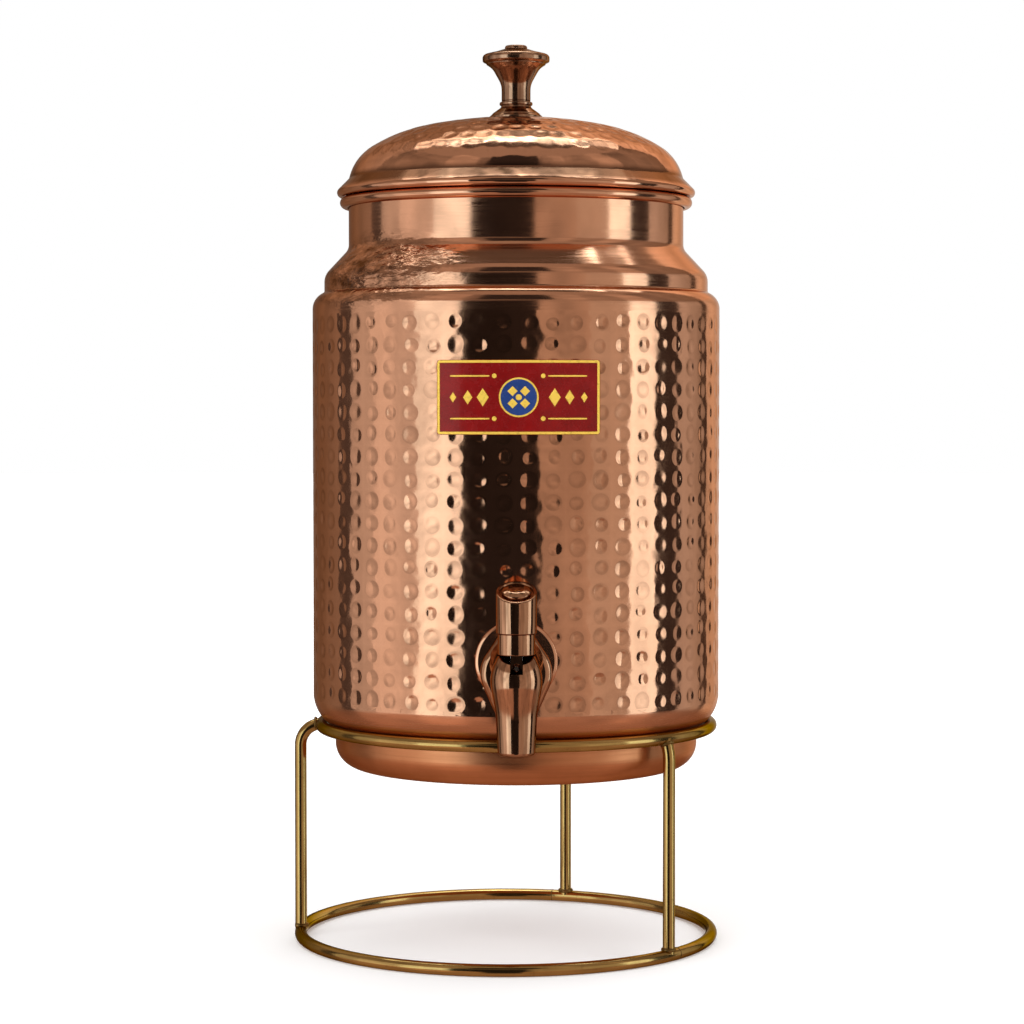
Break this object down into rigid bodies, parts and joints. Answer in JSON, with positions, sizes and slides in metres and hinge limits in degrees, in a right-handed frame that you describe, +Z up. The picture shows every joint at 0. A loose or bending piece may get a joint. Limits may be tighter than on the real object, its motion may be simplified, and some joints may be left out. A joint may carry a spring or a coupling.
{
  "type": "water dispenser",
  "caption": "Hammered copper water dispenser with a domed lid, turned knob, lever tap and three-legged brass wire stand.",
  "frame": {"origin": "on the jar's axis, at the floor, in the plane of the base ring's flat underside", "axes": "+Z up along the jar's axis; -Y towards the user, where the tap is; +X to the right of someone who faces the tap"},
  "size_m": [0.2095, 0.2468, 0.4397],
  "materials": {
    "jar_copper": "polished copper, hammered on the straight wall and brushed on the neck",
    "lid_copper": "polished copper, hammered on the dome",
    "knob_bronze": "darker turned copper, brushed",
    "stand_brass": "antique brass wire, satin",
    "plated_copper": "copper plating, mirror polished",
    "shank_brass": "plain machined brass",
    "steel": "stainless steel",
    "silicone": "translucent food-grade silicone",
    "badge_enamel": "red enamel with a gold border"
  },
  "bodies": {
    "stand": {"stand_top_ring": "stand_brass", "stand_base_ring": "stand_brass", "stand_leg_left": "stand_brass", "stand_leg_right": "stand_brass", "stand_leg_back": "stand_brass"},
    "jar": {"jar_body": "jar_copper", "jar_base_pan": "jar_copper", "jar_rim_wire": "jar_copper", "badge_plate": "badge_enamel", "tap_body": "plated_copper", "tap_shank": "shank_brass", "tap_flange": "plated_copper", "outer_washer": "silicone", "inner_washer": "silicone", "shank_nut": "shank_brass", "handle_pin": "steel", "return_spring": "steel"},
    "lid": {"lid_shell": "lid_copper", "lid_collar": "lid_copper", "lid_knob": "knob_bronze", "knob_screw": "steel", "knob_washer": "steel"},
    "tap_lever": {"tap_handle": "plated_copper", "handle_button": "plated_copper"},
    "valve": {"valve_stem": "steel", "stem_ball": "steel", "seat_cup": "silicone", "spring_clip": "steel"}
  },
  "joints": [
    {"name": "jar_lift", "type": "slide", "parent": "stand", "child": "jar", "axis": [0, 0, 1], "range_m": [0, 0.06]},
    {"name": "lid_lift", "type": "slide", "parent": "jar", "child": "lid", "axis": [0, 0, 1], "range_m": [0, 0.12]},
    {"name": "lever", "type": "hinge", "parent": "jar", "child": "tap_lever", "pos_m": [0, -0.132, 0.1409], "axis": [1, 0, 0], "range_deg": [0, 25], "stiffness_Nm_per_rad": 0.15, "springref_deg": -17.19},
    {"name": "valve_pull", "type": "slide", "parent": "jar", "child": "valve", "axis": [0, -1, 0], "range_m": [0, 0.00245], "deforming": ["return_spring"]}
  ],
  "couplings": [
    {"joint": "valve_pull", "follows": "lever", "m_per_rad": 0.00561}
  ]
}
